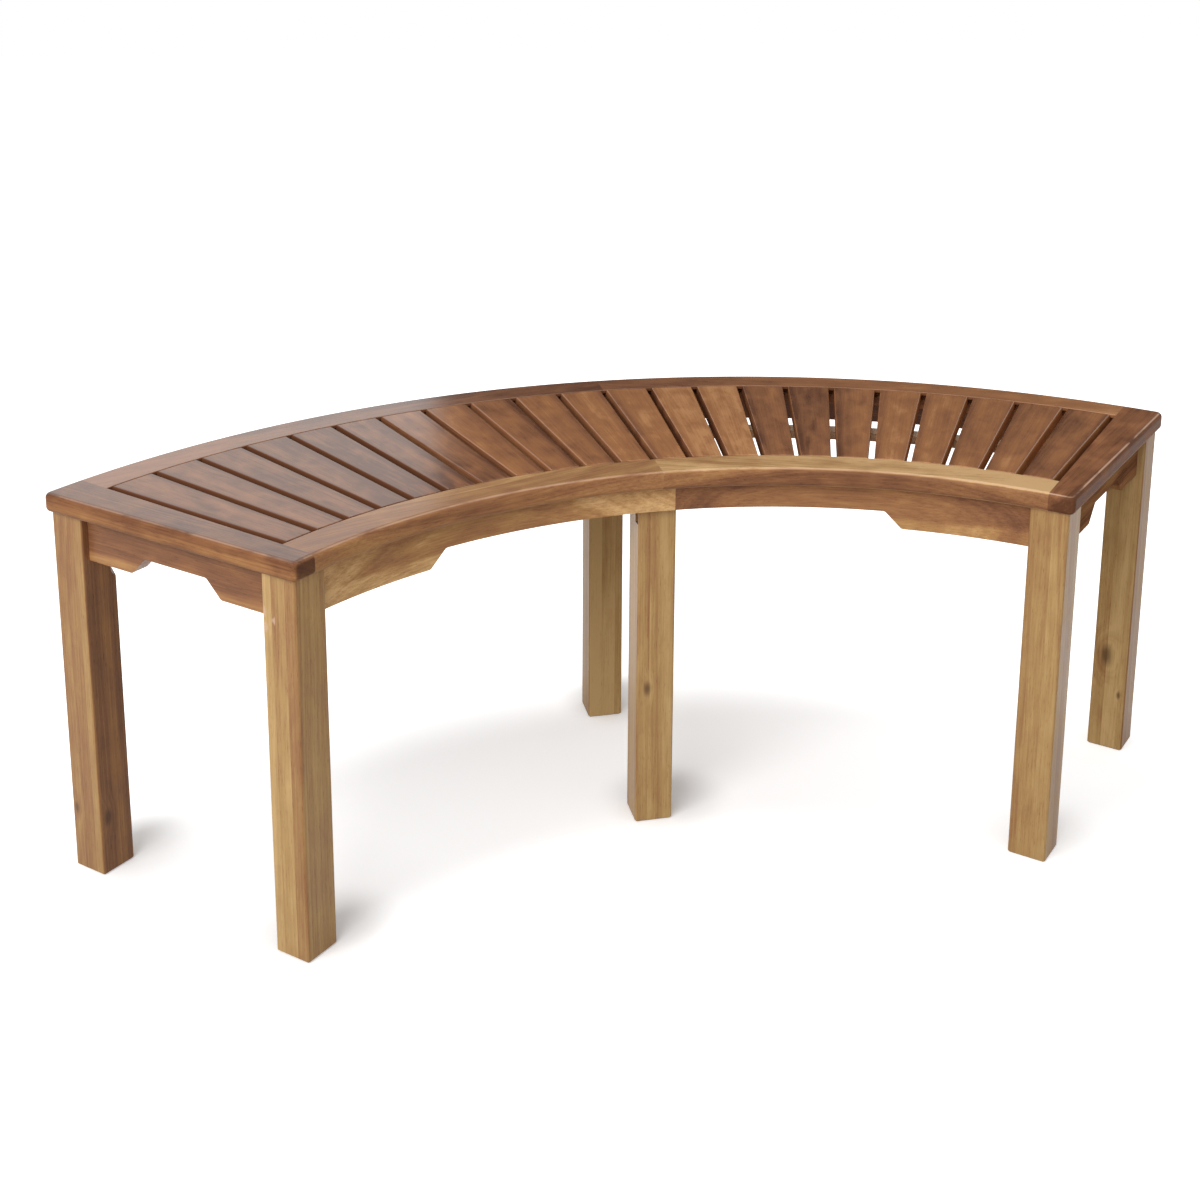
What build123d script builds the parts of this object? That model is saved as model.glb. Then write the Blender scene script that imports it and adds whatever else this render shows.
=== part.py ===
from build123d import *
import os
from math import asin, cos, degrees, isclose, radians, sin, sqrt

# A curved garden bench: a quarter ring of tapered slats in a curved frame, on six square legs.
# Radii are measured from the arc's centre, which lies in front of the bench; the hollow side faces -Y.
# Angles are in degrees to the right of the middle line, and sizes in millimetres.

# Seat plan
seat_height = 450
inner_radius = 590
outer_radius = 950
half_angle = 45
corner_radius = 8

# Seat frame: curved rails between two straight end rails
rail_thickness = 22
inner_rail_width = 46
outer_rail_width = 47
end_rail_width = 39
rail_round = 6

# Slats, tongued into grooves in the curved rails
slat_count = 22
slat_gap = 7.5
slat_thickness = 16
slat_ease = 1.5
joint_line = 0.5
tongue_thickness = 8
tongue_length = 10
tongue_clearance = 0.15

# Batten that ties the slats together from below
batten_inner_radius = 771
batten_width = 22
batten_thickness = 10

# Legs: the corner ones have a flat at the top for their bolts, the middle ones are lapped over the aprons
leg_size = 45
leg_round = 3
foot_chamfer = 2
seat_overhang = 6
corner_flat = 8
corner_flat_below_apron = 33
corner_flat_run_out = 10
middle_leg_lap = 10
leg_slot_inset = 3
leg_slot_width = 12
leg_slot_depth = 5

# Aprons: deep beside the corner legs, stepped up to a shallow middle
apron_thickness = 20
apron_depth = 50
apron_rise = 20
rear_apron_rise = 24
apron_setback = 9
apron_step_run = 20
apron_step_round = 5
curved_deep_length = 148
end_shallow_length = 88
apron_seam_offset = 18

# Bearer between the two middle legs
bearer_width = 18
bearer_depth = 30

# Corner blocks and their hanger bolts
block_thickness = 22
block_height = 36
block_gap = 3
bolt_diameter = 8
bolt_in_leg = 30
bolt_beyond_nut = 3
bolt_clearance = 1
washer_diameter = 20
washer_thickness = 1.6
nut_across_flats = 13
nut_thickness = 6.5

# Dowels and countersunk wood screws
dowel_diameter = 8
dowel_length = 30
screw_diameter = 4
screw_head_diameter = 8
screw_head_height = 2.5
hole_clearance = 0.2
slat_screw_bite = 10
seat_screw_bite = 14
seat_screw_recess = 8
block_screw_grip = 8
block_screw_bite = 13
leg_screw_bite = 12
leg_screw_offset = 14

# Heights that follow from the sizes above
rail_bottom = seat_height - rail_thickness
rail_middle = seat_height - rail_thickness / 2
slat_bottom = seat_height - slat_thickness
tongue_bottom = slat_bottom + (slat_thickness - tongue_thickness) / 2
batten_bottom = slat_bottom - batten_thickness
bearer_bottom = batten_bottom - bearer_depth
apron_bottom = rail_bottom - apron_depth
apron_middle_bottom = apron_bottom + apron_rise
rear_apron_middle_bottom = apron_bottom + rear_apron_rise
bolt_height = rail_bottom - apron_depth / 2
corner_flat_end = apron_bottom - corner_flat_below_apron

# Radii that follow
slat_inner_radius = inner_radius + inner_rail_width
slat_outer_radius = outer_radius - outer_rail_width
middle_radius = (inner_radius + outer_radius) / 2
batten_radius = batten_inner_radius + batten_width / 2
front_apron_face = inner_radius + seat_overhang + apron_setback
front_apron_back = front_apron_face + apron_thickness
rear_apron_face = outer_radius - seat_overhang - apron_setback
rear_apron_back = rear_apron_face - apron_thickness
front_leg_radius = inner_radius + seat_overhang + leg_size / 2
rear_leg_radius = outer_radius - seat_overhang - leg_size / 2
front_middle_radius = front_apron_back - middle_leg_lap + leg_size / 2
rear_middle_radius = rear_apron_back + middle_leg_lap - leg_size / 2

# Distances from a seat end towards the middle
leg_inset = seat_overhang + leg_size / 2
leg_inner_side = seat_overhang + leg_size
end_apron_face = seat_overhang + apron_setback
end_apron_back = end_apron_face + apron_thickness

# Lines of the slat gaps; the outermost ones run beside the end rails
end_gap_angle = half_angle - degrees(asin((end_rail_width + slat_gap / 2) / middle_radius))
slat_pitch = 2 * end_gap_angle / slat_count

# Corner block, measured along the diagonal from the middle of its leg
flat_reach = (leg_size - corner_flat) / sqrt(2)
block_start = flat_reach + block_gap
block_end = block_start + block_thickness
block_screw_place = (block_start + block_end) / sqrt(2) - (end_apron_back - leg_inset)

# The origin lies on the floor under the middle of the bench's outline
corner_turn = degrees(asin(corner_radius / (inner_radius + corner_radius)))
front_reach = (inner_radius + corner_radius) * cos(radians(half_angle - corner_turn)) - corner_radius
arc_centre_y = -(front_reach + outer_radius) / 2

up = Vector(0, 0, 1)
near_reach = inner_radius / 2
far_reach = outer_radius * 2
sides = {"left": -1, "right": 1}
os.makedirs("parts", exist_ok=True)


def outward(angle):
    """Direction away from the arc's centre."""
    return Vector(sin(radians(angle)), cos(radians(angle)), 0)


def along(angle):
    """Direction of growing angle, square to outward."""
    return Vector(cos(radians(angle)), -sin(radians(angle)), 0)


def level(height):
    """Horizontal plane with its origin at the arc's centre."""
    return Plane((0, arc_centre_y, height))


def spot(radius, angle, offset=0, height=0):
    """Point on a radial line, moved sideways by the offset."""
    return Vector(0, arc_centre_y, height) + outward(angle) * radius + along(angle) * offset


def upright(origin, direction):
    """Vertical plane through a point: x runs in the direction and y up."""
    return Plane(origin, x_dir=direction, z_dir=direction.cross(up))


def sector(height, start_radius, end_radius, start, end):
    """Part of a ring between two straight lines, each given as an angle and a sideways offset."""
    corners = []
    for line, reaches in ((start, (near_reach, far_reach)), (end, (far_reach, near_reach))):
        angle, offset = line
        for reach in reaches:
            corner = outward(angle) * reach + along(angle) * offset
            corners.append((corner.X, corner.Y))
    with BuildSketch(level(height)) as ring:
        Circle(end_radius)
        Circle(start_radius, mode=Mode.SUBTRACT)
        with BuildLine():
            Polyline(*corners, close=True)
        make_face(mode=Mode.INTERSECT)
    return ring.sketch


def drill(origin, direction, diameter, depth):
    """Cut a round hole into the piece being built."""
    with Locations(Plane(origin, z_dir=direction)):
        Cylinder(diameter / 2, depth, align=(Align.CENTER, Align.CENTER, Align.MIN), mode=Mode.SUBTRACT)


def drill_for_dowels(places):
    """Cut both halves of each dowel's hole; only the half inside the piece takes wood away."""
    for origin, direction in places:
        start = origin - direction * ((dowel_length + hole_clearance) / 2)
        drill(start, direction, dowel_diameter + hole_clearance, dowel_length + hole_clearance)


def drill_for_screws(places):
    """Cut countersunk holes, each as long as its screw."""
    for origin, direction, length in places:
        drill(origin, direction, screw_diameter + hole_clearance, length + hole_clearance)
        with Locations(Plane(origin, z_dir=direction)):
            Cone(
                (screw_head_diameter + hole_clearance) / 2,
                (screw_diameter + hole_clearance) / 2,
                screw_head_height,
                align=(Align.CENTER, Align.CENTER, Align.MIN),
                mode=Mode.SUBTRACT,
            )


def drill_for_seat_screws(places):
    """Cut a recess from below for each head, and the hole above it."""
    for origin, direction, length in places:
        drill(origin, -direction, screw_head_diameter + bolt_clearance, seat_screw_recess)
    drill_for_screws(places)


def arcs(piece, radius):
    """Curved edges of a piece with one radius, from the lowest up."""
    curved_edges = piece.edges().filter_by(GeomType.CIRCLE)
    return curved_edges.filter_by(lambda edge: isclose(edge.radius, radius)).sort_by(Axis.Z)


def save(piece, name):
    """Label a finished piece and write its file."""
    piece.label = name
    export_step(piece, f"parts/{name}.step")


def end_joint_dowels(side, start_radius, width):
    """Two dowels across the joint of a curved rail with its end rail."""
    angle = side * end_gap_angle
    radii = [start_radius + width * share for share in (1 / 3, 2 / 3)]
    return [(spot(radius, angle, side * slat_gap / 2, rail_middle), along(angle)) for radius in radii]


def middle_joint_dowels(start_radius, width):
    """Two dowels across the joint in the middle of a curved rail."""
    radii = [start_radius + width * share for share in (1 / 3, 2 / 3)]
    return [(spot(radius, 0, 0, rail_middle), along(0)) for radius in radii]


def seam_dowels(radius, apron_edge):
    """Two dowels across the seam of a curved apron above its lower edge."""
    heights = [apron_edge + (rail_bottom - apron_edge) * share for share in (1 / 4, 3 / 4)]
    return [(spot(radius, 0, apron_seam_offset, height), along(0)) for height in heights]


def bearer_dowels(radius):
    """Two dowels across the joint of the bearer with a middle leg."""
    heights = [bearer_bottom + bearer_depth * share for share in (1 / 4, 3 / 4)]
    return [(spot(radius, 0, 0, height), outward(0)) for height in heights]


# Solid strips of the curved rails beside their grooves: first radius and width
inner_strip = (inner_radius, inner_rail_width - tongue_length)
outer_strip = (slat_outer_radius + tongue_length, outer_rail_width - tongue_length)
bearer_start = front_middle_radius + leg_size / 2
bearer_end = rear_middle_radius - leg_size / 2
front_apron_middle = (front_apron_face + front_apron_back) / 2
rear_apron_middle = (rear_apron_face + rear_apron_back) / 2


def gap_line(index):
    """Angle of a slat gap, counted from the left end."""
    return index * slat_pitch - end_gap_angle


# One screw through the batten into each slat
slat_screw_length = batten_thickness + slat_screw_bite
slat_screws = []
for index in range(slat_count):
    slat_middle = gap_line(index) + slat_pitch / 2
    slat_screws.append((spot(batten_radius, slat_middle, 0, batten_bottom), up, slat_screw_length))


def step_angle(radius):
    """Angle at which a curved apron starts to step up."""
    return half_angle - degrees((leg_inner_side + curved_deep_length) / radius)


def seat_screw(radius, angle, offset, apron_edge):
    """Screw up through a shallow stretch of an apron, from its lower edge, into the rail above."""
    start = apron_edge + seat_screw_recess
    return spot(radius, angle, offset, start), up, rail_bottom - start + seat_screw_bite


# Screws that hold the seat on the aprons
end_apron_start = front_leg_radius + leg_size / 2
end_apron_end = rear_leg_radius - leg_size / 2
end_apron_centre = (end_apron_start + end_apron_end) / 2
end_deep_length = (end_apron_end - end_apron_start - end_shallow_length) / 2 - apron_step_run
end_apron_middle = (end_apron_face + end_apron_back) / 2
front_seat_screws = {}
rear_seat_screws = {}
end_seat_screws = {}
for side_name, side in sides.items():
    for radius, apron_edge, group in (
        (front_apron_middle, apron_middle_bottom, front_seat_screws),
        (rear_apron_middle, rear_apron_middle_bottom, rear_seat_screws),
    ):
        angles = [side * step_angle(radius) * share for share in (1 / 4, 3 / 4)]
        group[side_name] = [seat_screw(radius, angle, 0, apron_edge) for angle in angles]
    end_seat_screws[side_name] = []
    for share in (-1 / 4, 1 / 4):
        radius = end_apron_centre + end_shallow_length * share
        screw = seat_screw(radius, side * half_angle, -side * end_apron_middle, apron_middle_bottom)
        end_seat_screws[side_name].append(screw)

# Two screws through each middle leg into the apron that it is lapped over
leg_screw_length = leg_size - middle_leg_lap + leg_screw_bite
leg_screws = {"front": [], "rear": []}
for share in (1 / 4, 3 / 4):
    front_height = apron_middle_bottom + (rail_bottom - apron_middle_bottom) * share
    rear_height = rear_apron_middle_bottom + (rail_bottom - rear_apron_middle_bottom) * share
    front_place = spot(bearer_start, 0, -leg_screw_offset, front_height)
    rear_place = spot(bearer_end, 0, -leg_screw_offset, rear_height)
    leg_screws["front"].append((front_place, -outward(0), leg_screw_length))
    leg_screws["rear"].append((rear_place, outward(0), leg_screw_length))


class Corner:
    """Places around one corner leg: inwards is towards the middle, across towards its end's other leg."""

    def __init__(self, side, row):
        self.row = row
        self.leg_radius = front_leg_radius if row == "front" else rear_leg_radius
        self.inwards = along(side * half_angle) * -side
        self.across = outward(side * half_angle) * (1 if row == "front" else -1)
        self.centre = spot(self.leg_radius, side * half_angle, -side * leg_inset)
        self.diagonal = (self.inwards + self.across).normalized()

    def at(self, inwards, across, height):
        """Point beside the leg's middle line."""
        return self.centre + self.inwards * inwards + self.across * across + up * height

    def on_bolt(self, reach):
        """Point on the axis of the hanger bolt."""
        return self.centre + self.diagonal * reach + up * bolt_height

    def curved_apron_face(self, inwards):
        """Distance across to the inner face of the curved apron."""
        offset = leg_inset + inwards
        if self.row == "front":
            return sqrt(front_apron_back**2 - offset**2) - self.leg_radius
        return self.leg_radius - sqrt(rear_apron_back**2 - offset**2)

    def block_screws(self):
        """A screw from the block into the end apron, and one into the curved apron."""
        length = block_screw_grip + block_screw_bite
        end_face = end_apron_back - leg_inset
        curved_face = self.curved_apron_face(block_screw_place)
        into_end = self.at(end_face + block_screw_grip, block_screw_place, bolt_height)
        into_curve = self.at(block_screw_place, curved_face + block_screw_grip, bolt_height)
        return [(into_end, -self.inwards, length), (into_curve, -self.across, length)]


corners = {}
for row in ("front", "rear"):
    for side_name, side in sides.items():
        corners[f"{row}_{side_name}"] = Corner(side, row)

# End rails run through the whole depth of the seat, with rounded outer edges
for side_name, side in sides.items():
    with BuildPart() as end_rail:
        seat_end = (side * half_angle, 0)
        rail_edge = (side * end_gap_angle, side * slat_gap / 2)
        extrude(sector(rail_bottom, inner_radius, outer_radius, seat_end, rail_edge), amount=rail_thickness)
        upright_faces = end_rail.faces().filter_by(GeomType.PLANE).filter_by(Axis.Z, reverse=True)
        seat_end_face = upright_faces.sort_by(lambda face: abs(face.center().X))[-1]
        fillet(seat_end_face.edges().filter_by(Axis.Z), corner_radius)
        for face in (end_rail.faces().sort_by(Axis.Z)[0], end_rail.faces().sort_by(Axis.Z)[-1]):
            straight_edges = face.edges().filter_by(GeomType.LINE).sort_by(lambda edge: abs(edge.center().X))
            fillet(face.edges() - straight_edges[:1], rail_round)
        drill_for_dowels(end_joint_dowels(side, *inner_strip) + end_joint_dowels(side, *outer_strip))
        drill_for_screws(end_seat_screws[side_name])
    save(end_rail.part, f"end_rail_{side_name}")

# Curved rails, in two halves each, grooved for the tongues of the slats
groove_bottom = tongue_bottom - tongue_clearance
groove_height = tongue_thickness + 2 * tongue_clearance
groove_depth = tongue_length + tongue_clearance
for side_name, side in sides.items():
    rail_end = (side * end_gap_angle, side * slat_gap / 2)
    middle = (0, 0)
    with BuildPart() as inner_rail:
        extrude(sector(rail_bottom, inner_radius, slat_inner_radius, rail_end, middle), amount=rail_thickness)
        fillet(arcs(inner_rail, inner_radius), rail_round)
        fillet(arcs(inner_rail, slat_inner_radius)[-1], slat_ease)
        groove = sector(groove_bottom, slat_inner_radius - groove_depth, slat_inner_radius, rail_end, middle)
        extrude(groove, amount=groove_height, mode=Mode.SUBTRACT)
        drill_for_dowels(end_joint_dowels(side, *inner_strip) + middle_joint_dowels(*inner_strip))
        drill_for_screws(front_seat_screws[side_name])
    save(inner_rail.part, f"inner_rail_{side_name}")
    with BuildPart() as outer_rail:
        extrude(sector(rail_bottom, slat_outer_radius, outer_radius, rail_end, middle), amount=rail_thickness)
        fillet(arcs(outer_rail, outer_radius), rail_round)
        fillet(arcs(outer_rail, slat_outer_radius)[-1], slat_ease)
        groove = sector(groove_bottom, slat_outer_radius, slat_outer_radius + groove_depth, rail_end, middle)
        extrude(groove, amount=groove_height, mode=Mode.SUBTRACT)
        drill_for_dowels(end_joint_dowels(side, *outer_strip) + middle_joint_dowels(*outer_strip))
        drill_for_screws(rear_seat_screws[side_name])
    save(outer_rail.part, f"outer_rail_{side_name}")

# Slats taper towards the hollow side, so that the gaps between them stay the same width
for index in range(slat_count):
    left_edge = (gap_line(index), slat_gap / 2)
    right_edge = (gap_line(index + 1), -slat_gap / 2)
    slat_start = slat_inner_radius + joint_line
    slat_end = slat_outer_radius - joint_line
    tongue_start = slat_inner_radius - tongue_length
    tongue_end = slat_outer_radius + tongue_length
    with BuildPart() as slat:
        extrude(sector(slat_bottom, slat_start, slat_end, left_edge, right_edge), amount=slat_thickness)
        fillet(slat.faces().sort_by(Axis.Z)[-1].edges(), slat_ease)
        tongues = sector(tongue_bottom, tongue_start, tongue_end, left_edge, right_edge)
        extrude(tongues, amount=tongue_thickness)
        drill_for_screws(slat_screws[index : index + 1])
    save(slat.part, f"slat_{index + 1:02d}")

# Batten halves meet over the bearer
batten_outer_radius = batten_inner_radius + batten_width
half_count = slat_count // 2
for side_name, side in sides.items():
    batten_end = (side * end_gap_angle, -side * slat_gap / 2)
    with BuildPart() as batten:
        strip = sector(batten_bottom, batten_inner_radius, batten_outer_radius, batten_end, (0, 0))
        extrude(strip, amount=batten_thickness)
        drill_for_screws(slat_screws[:half_count] if side < 0 else slat_screws[half_count:])
    save(batten.part, f"batten_{side_name}")

# Bearer that carries the batten's joint and ties the middle legs
with BuildPart() as bearer:
    with BuildSketch(level(bearer_bottom)):
        with Locations((0, (bearer_start + bearer_end) / 2)):
            Rectangle(bearer_width, bearer_end - bearer_start)
    extrude(amount=bearer_depth)
    drill_for_dowels(bearer_dowels(bearer_start) + bearer_dowels(bearer_end))
save(bearer.part, "middle_bearer")

# Corner legs: square, with a flat on the inner corner for the hanger bolt
for corner_name, corner in corners.items():
    with BuildPart() as corner_leg:
        with BuildSketch(Plane(corner.centre, x_dir=corner.inwards, z_dir=up)):
            RectangleRounded(leg_size, leg_size, leg_round)
        extrude(amount=rail_bottom)
        chamfer(corner_leg.faces().sort_by(Axis.Z)[0].edges(), foot_chamfer)
        edge_reach = leg_size / sqrt(2)
        with BuildSketch(upright(corner.centre, corner.diagonal)) as flat:
            with BuildLine():
                Polyline(
                    (flat_reach, rail_bottom),
                    (flat_reach, corner_flat_end + corner_flat_run_out),
                    (edge_reach, corner_flat_end),
                    (edge_reach, rail_bottom),
                    close=True,
                )
            make_face()
        extrude(flat.sketch, amount=leg_size / 2, both=True, mode=Mode.SUBTRACT)
        drill(
            corner.on_bolt(flat_reach - bolt_in_leg - hole_clearance),
            corner.diagonal,
            bolt_diameter + hole_clearance,
            bolt_in_leg + 2 * hole_clearance,
        )
    save(corner_leg.part, f"leg_{corner_name}")

# Middle legs, lapped over the inner faces of the curved aprons
for row, radius, leg_face, lap_start, lap_end, lap_bottom in (
    ("front", front_middle_radius, bearer_start, near_reach, front_apron_back, apron_middle_bottom),
    ("rear", rear_middle_radius, bearer_end, rear_apron_back, far_reach, rear_apron_middle_bottom),
):
    with BuildPart() as middle_leg:
        with BuildSketch(Plane(spot(radius, 0))):
            RectangleRounded(leg_size, leg_size, leg_round)
        extrude(amount=rail_bottom)
        chamfer(middle_leg.faces().sort_by(Axis.Z)[0].edges(), foot_chamfer)
        with BuildSketch(level(lap_bottom)) as lap:
            Circle(lap_end)
            Circle(lap_start, mode=Mode.SUBTRACT)
        extrude(lap.sketch, amount=rail_bottom - lap_bottom, mode=Mode.SUBTRACT)
        if row == "front":
            slot_radius = radius - leg_size / 2 + leg_slot_inset + leg_slot_width / 2
            for slot_side in sides.values():
                with BuildSketch(Plane(spot(slot_radius, 0, slot_side * leg_size / 2, apron_bottom))) as slot:
                    Rectangle(2 * leg_slot_depth, leg_slot_width)
                extrude(slot.sketch, amount=apron_depth, mode=Mode.SUBTRACT)
        drill_for_dowels(bearer_dowels(leg_face))
        drill_for_screws(leg_screws[row])
    save(middle_leg.part, f"leg_{row}_middle")

# End aprons, straight, with a shallow middle between two steps
for side_name, side in sides.items():
    start = spot(end_apron_start, side * half_angle, -side * end_apron_middle)
    length = end_apron_end - end_apron_start
    end_corners = [corners[f"{row}_{side_name}"] for row in ("front", "rear")]
    with BuildPart() as end_apron:
        with BuildSketch(upright(start, outward(side * half_angle))) as board:
            with Locations((length / 2, rail_bottom - apron_depth / 2)):
                Rectangle(length, apron_depth)
        extrude(board.sketch, amount=apron_thickness / 2, both=True)
        with BuildSketch(upright(start, outward(side * half_angle))) as relief:
            with BuildLine():
                FilletPolyline(
                    (0, apron_bottom),
                    (end_deep_length, apron_bottom),
                    (end_deep_length + apron_step_run, apron_middle_bottom),
                    (length - end_deep_length - apron_step_run, apron_middle_bottom),
                    (length - end_deep_length, apron_bottom),
                    (length, apron_bottom),
                    (length, apron_bottom - apron_depth),
                    (0, apron_bottom - apron_depth),
                    radius=apron_step_round,
                    close=True,
                )
            make_face()
        extrude(relief.sketch, amount=apron_thickness, both=True, mode=Mode.SUBTRACT)
        drill_for_seat_screws(end_seat_screws[side_name])
        for corner in end_corners:
            drill_for_screws(corner.block_screws()[:1])
    save(end_apron.part, f"apron_end_{side_name}")

# Curved aprons, in two halves each, stepped up towards the middle leg
for row, start_radius, end_radius, shallow_edge, screws in (
    ("front", front_apron_face, front_apron_back, apron_middle_bottom, front_seat_screws),
    ("rear", rear_apron_back, rear_apron_face, rear_apron_middle_bottom, rear_seat_screws),
):
    apron_middle = (start_radius + end_radius) / 2
    for side_name, side in sides.items():
        leg_side = (side * half_angle, -side * leg_inner_side)
        angle = side * step_angle(apron_middle)
        step = upright(spot(apron_middle, angle), along(angle) * -side)
        with BuildPart() as curved_apron:
            board = sector(apron_bottom, start_radius, end_radius, leg_side, (0, apron_seam_offset))
            extrude(board, amount=apron_depth)
            with BuildSketch(step) as relief:
                with BuildLine():
                    FilletPolyline(
                        (-curved_deep_length, apron_bottom),
                        (0, apron_bottom),
                        (apron_step_run, shallow_edge),
                        (apron_middle, shallow_edge),
                        (apron_middle, apron_bottom - apron_depth),
                        (-curved_deep_length, apron_bottom - apron_depth),
                        radius=apron_step_round,
                        close=True,
                    )
                make_face()
            extrude(relief.sketch, amount=apron_middle / 2, both=True, mode=Mode.SUBTRACT)
            drill_for_dowels(seam_dowels(apron_middle, shallow_edge))
            drill_for_seat_screws(screws[side_name])
            drill_for_screws(corners[f"{row}_{side_name}"].block_screws()[1:])
            if side < 0:
                drill_for_screws(leg_screws[row])
        save(curved_apron.part, f"apron_{row}_{side_name}")

# Corner blocks lie across the corners between the end aprons and the curved ones
for corner_name, corner in corners.items():
    end_face = end_apron_back - leg_inset
    near_side = block_start * sqrt(2)
    far_side = block_end * sqrt(2)
    with BuildPart() as block:
        outline = []
        for inwards, across in (
            (end_face, near_side - end_face),
            (end_face, far_side - end_face),
            (far_side, 0),
            (near_side, 0),
        ):
            point = corner.at(inwards, across, 0)
            outline.append((point.X, point.Y))
        with BuildSketch(Plane.XY.offset(bolt_height - block_height / 2)):
            with BuildLine():
                Polyline(*outline, close=True)
            make_face()
        extrude(amount=block_height)
        with BuildSketch(level(bolt_height - block_height / 2)) as apron_space:
            if corner.row == "front":
                Circle(front_apron_back)
            else:
                Circle(far_reach)
                Circle(rear_apron_back, mode=Mode.SUBTRACT)
        extrude(apron_space.sketch, amount=block_height, mode=Mode.SUBTRACT)
        drill(corner.on_bolt(0), corner.diagonal, bolt_diameter + bolt_clearance, 2 * block_end)
        for origin, direction, length in corner.block_screws():
            drill(origin, -direction, screw_head_diameter + bolt_clearance, block_thickness)
        drill_for_screws(corner.block_screws())
    save(block.part, f"corner_block_{corner_name}")

# Hanger bolts with their washers and nuts, one for each corner leg
washer_end = block_end + washer_thickness
nut_end = washer_end + nut_thickness
with BuildPart() as hanger_bolts:
    for corner in corners.values():
        with Locations(Plane(corner.on_bolt(flat_reach - bolt_in_leg), z_dir=corner.diagonal)):
            bolt_length = bolt_in_leg - flat_reach + nut_end + bolt_beyond_nut
            Cylinder(bolt_diameter / 2, bolt_length, align=(Align.CENTER, Align.CENTER, Align.MIN))
save(hanger_bolts.part, "hanger_bolts")

with BuildPart() as bolt_washers:
    for corner in corners.values():
        with BuildSketch(Plane(corner.on_bolt(block_end), z_dir=corner.diagonal)):
            Circle(washer_diameter / 2)
            Circle((bolt_diameter + bolt_clearance) / 2, mode=Mode.SUBTRACT)
    extrude(amount=washer_thickness)
save(bolt_washers.part, "bolt_washers")

with BuildPart() as bolt_nuts:
    for corner in corners.values():
        with BuildSketch(Plane(corner.on_bolt(washer_end), z_dir=corner.diagonal)):
            RegularPolygon(nut_across_flats / 2, 6, major_radius=False)
            Circle((bolt_diameter + hole_clearance) / 2, mode=Mode.SUBTRACT)
    extrude(amount=nut_thickness)
save(bolt_nuts.part, "bolt_nuts")

# Dowels of the seat frame, of the apron seams and of the bearer
rail_dowel_places = middle_joint_dowels(*inner_strip) + middle_joint_dowels(*outer_strip)
for side in sides.values():
    rail_dowel_places += end_joint_dowels(side, *inner_strip) + end_joint_dowels(side, *outer_strip)
dowel_groups = {
    "rail_dowels": rail_dowel_places,
    "apron_dowels": (
        seam_dowels(front_apron_middle, apron_middle_bottom)
        + seam_dowels(rear_apron_middle, rear_apron_middle_bottom)
    ),
    "bearer_dowels": bearer_dowels(bearer_start) + bearer_dowels(bearer_end),
}
for name, places in dowel_groups.items():
    with BuildPart() as dowels:
        for origin, direction in places:
            with Locations(Plane(origin, z_dir=direction)):
                Cylinder(dowel_diameter / 2, dowel_length)
    save(dowels.part, name)

# Wood screws, each with a countersunk head
screw_groups = {
    "slat_screws": slat_screws,
    "seat_screws": [
        screw
        for group in (front_seat_screws, rear_seat_screws, end_seat_screws)
        for screws in group.values()
        for screw in screws
    ],
    "leg_screws": leg_screws["front"] + leg_screws["rear"],
    "block_screws": [screw for corner in corners.values() for screw in corner.block_screws()],
}
for name, places in screw_groups.items():
    with BuildPart() as screws:
        for origin, direction, length in places:
            with Locations(Plane(origin, z_dir=direction)):
                Cylinder(screw_diameter / 2, length, align=(Align.CENTER, Align.CENTER, Align.MIN))
                Cone(
                    screw_head_diameter / 2,
                    screw_diameter / 2,
                    screw_head_height,
                    align=(Align.CENTER, Align.CENTER, Align.MIN),
                )
    save(screws.part, name)
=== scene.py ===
"""Looks of a curved garden bench: oiled acacia boards, zinc fasteners and a pale studio."""

import logging
import math
import random
from dataclasses import dataclass, field
from enum import Enum
from typing import Union

import bpy
from mathutils import Matrix, Vector


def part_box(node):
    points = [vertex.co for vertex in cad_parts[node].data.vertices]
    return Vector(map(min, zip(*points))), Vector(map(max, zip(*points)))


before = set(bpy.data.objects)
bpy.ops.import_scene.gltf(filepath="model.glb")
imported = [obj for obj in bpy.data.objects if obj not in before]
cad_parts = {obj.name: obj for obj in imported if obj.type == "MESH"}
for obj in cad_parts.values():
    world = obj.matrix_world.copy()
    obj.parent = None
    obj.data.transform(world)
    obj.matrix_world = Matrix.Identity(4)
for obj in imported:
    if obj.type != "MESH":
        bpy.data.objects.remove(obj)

log = logging.getLogger("bench")
Number = Union["Value", float]
Colour = tuple[float, float, float]
Place = tuple[float, float, float]
Reach = tuple[float, float]
Stops = tuple[tuple[float, Colour], ...]

PHOTO_SIDE = 1200
UP = Vector((0, 0, 1))
BLACK = (0.0, 0.0, 0.0)
WHITE = (1.0, 1.0, 1.0)

# Plan of the bench, in metres and degrees, as in the part
OUTER_RADIUS = 0.950
INNER_RADIUS = 0.590
HALF_ANGLE = 45.0
END_RAIL_WIDTH = 0.039
SLAT_GAP = 0.0075
SLAT_COUNT = 22
MIDDLE_RADIUS = (INNER_RADIUS + OUTER_RADIUS) / 2
END_GAP_ANGLE = HALF_ANGLE - math.degrees(math.asin((END_RAIL_WIDTH + SLAT_GAP / 2) / MIDDLE_RADIUS))
SLAT_PITCH = 2 * END_GAP_ANGLE / SLAT_COUNT
CHORD_ANGLE = END_GAP_ANGLE / 2
ARC_CENTRE_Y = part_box("outer_rail_left")[1].y - OUTER_RADIUS
SIDES = (("left", -1), ("right", 1))
ROWS = ("front", "rear")
LEG_NODES = tuple(f"leg_{row}_{name}" for name in ("left", "right", "middle") for row in ROWS)

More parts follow.
